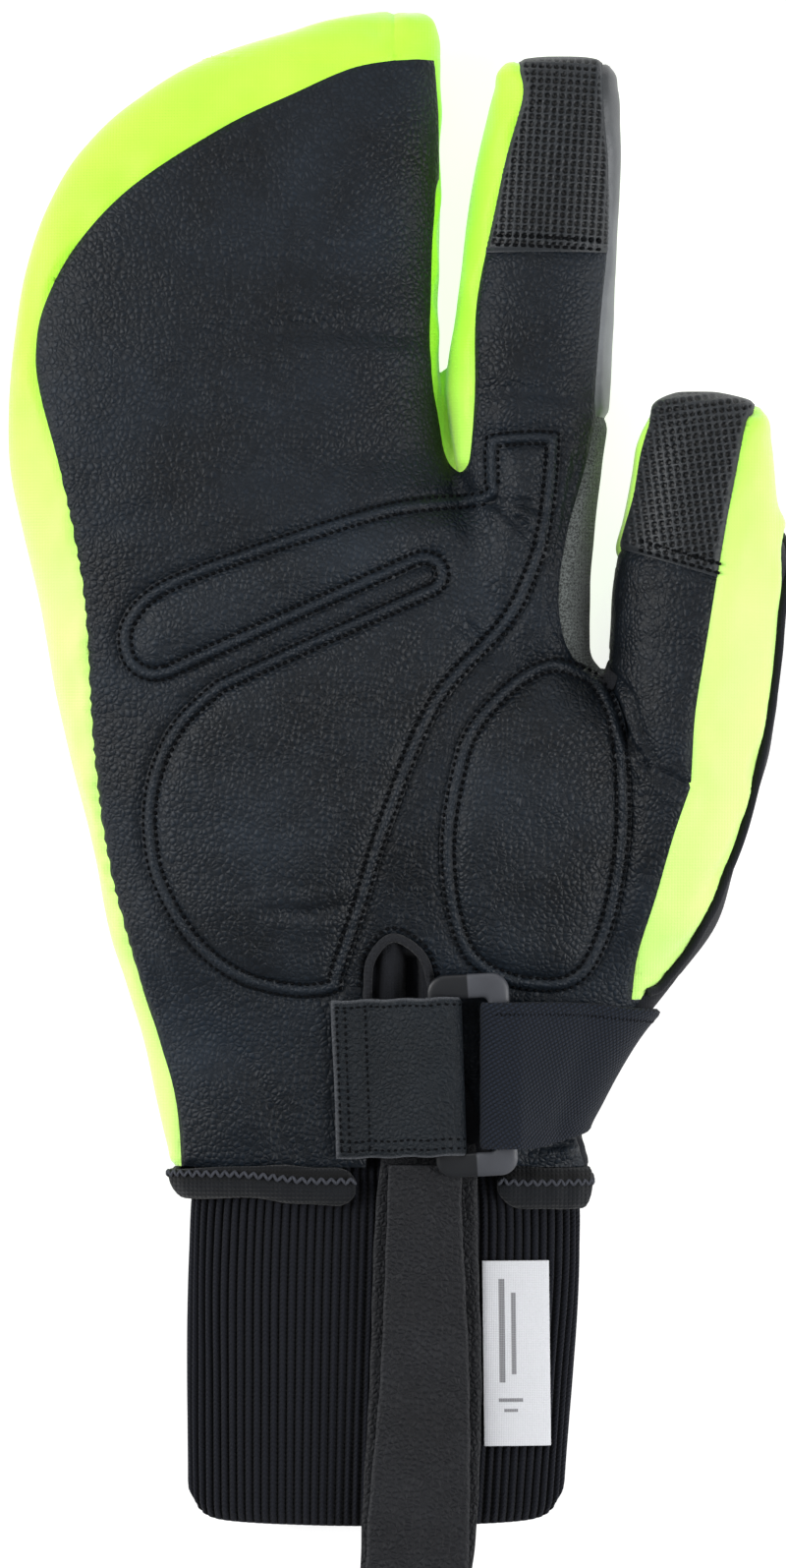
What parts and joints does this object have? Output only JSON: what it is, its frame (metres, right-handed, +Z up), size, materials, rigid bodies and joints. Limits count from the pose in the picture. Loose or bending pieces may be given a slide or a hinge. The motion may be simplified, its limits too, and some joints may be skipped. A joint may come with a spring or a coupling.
{
  "type": "trigger mitten",
  "caption": "Right-hand winter cycling mitten with a free index finger and thumb, padded palm, wrist strap and ribbed cuff, lying palm up.",
  "frame": {"origin": "centre of the bounding box's base, on the surface under the back of the hand", "axes": "+Z up out of the palm, +Y toward the fingertips, +X toward the thumb"},
  "size_m": [0.147, 0.2974, 0.0396],
  "materials": {
    "hi_vis": "hi-vis yellow-green softshell with a fine matte weave",
    "palm_leather": "black synthetic leather with a fine pebble grain",
    "pad_leather": "black synthetic leather with a pebble grain, padded and stitched",
    "grip_patch": "black rubberised cloth with a grid of square dimples",
    "reflective": "grey reflective cloth",
    "melange": "dark grey melange cloth",
    "black_softshell": "black softshell",
    "black_trim": "black folded binding with overlock stitches",
    "rib_knit": "black rib knit, fine yarn",
    "woven_label": "white woven satin label with plain grey bars",
    "strap_leather": "black synthetic leather with raw edges",
    "buckle_plastic": "dark grey matte plastic",
    "webbing": "black elastic webbing with a fine twill"
  },
  "bodies": {
    "root": {"back_shell": "hi_vis", "finger_gusset": "hi_vis", "thumb_side_panel": "hi_vis", "palm_panel": "palm_leather", "thumb_front": "palm_leather", "palm_overlay": "pad_leather", "thenar_pad": "pad_leather", "index_tip_patch": "grip_patch", "thumb_tip_patch": "grip_patch", "index_side_strip": "reflective", "crotch_gusset": "melange", "back_thumb_panel": "black_softshell", "wrist_gusset": "black_softshell", "piping": "black_trim", "wrist_hem": "black_trim", "knit_cuff": "rib_knit", "cuff_label": "woven_label", "pull_loop": "strap_leather", "strap_tab": "strap_leather", "buckle": "buckle_plastic", "strap_webbing": "webbing"}
  },
  "joints": []
}
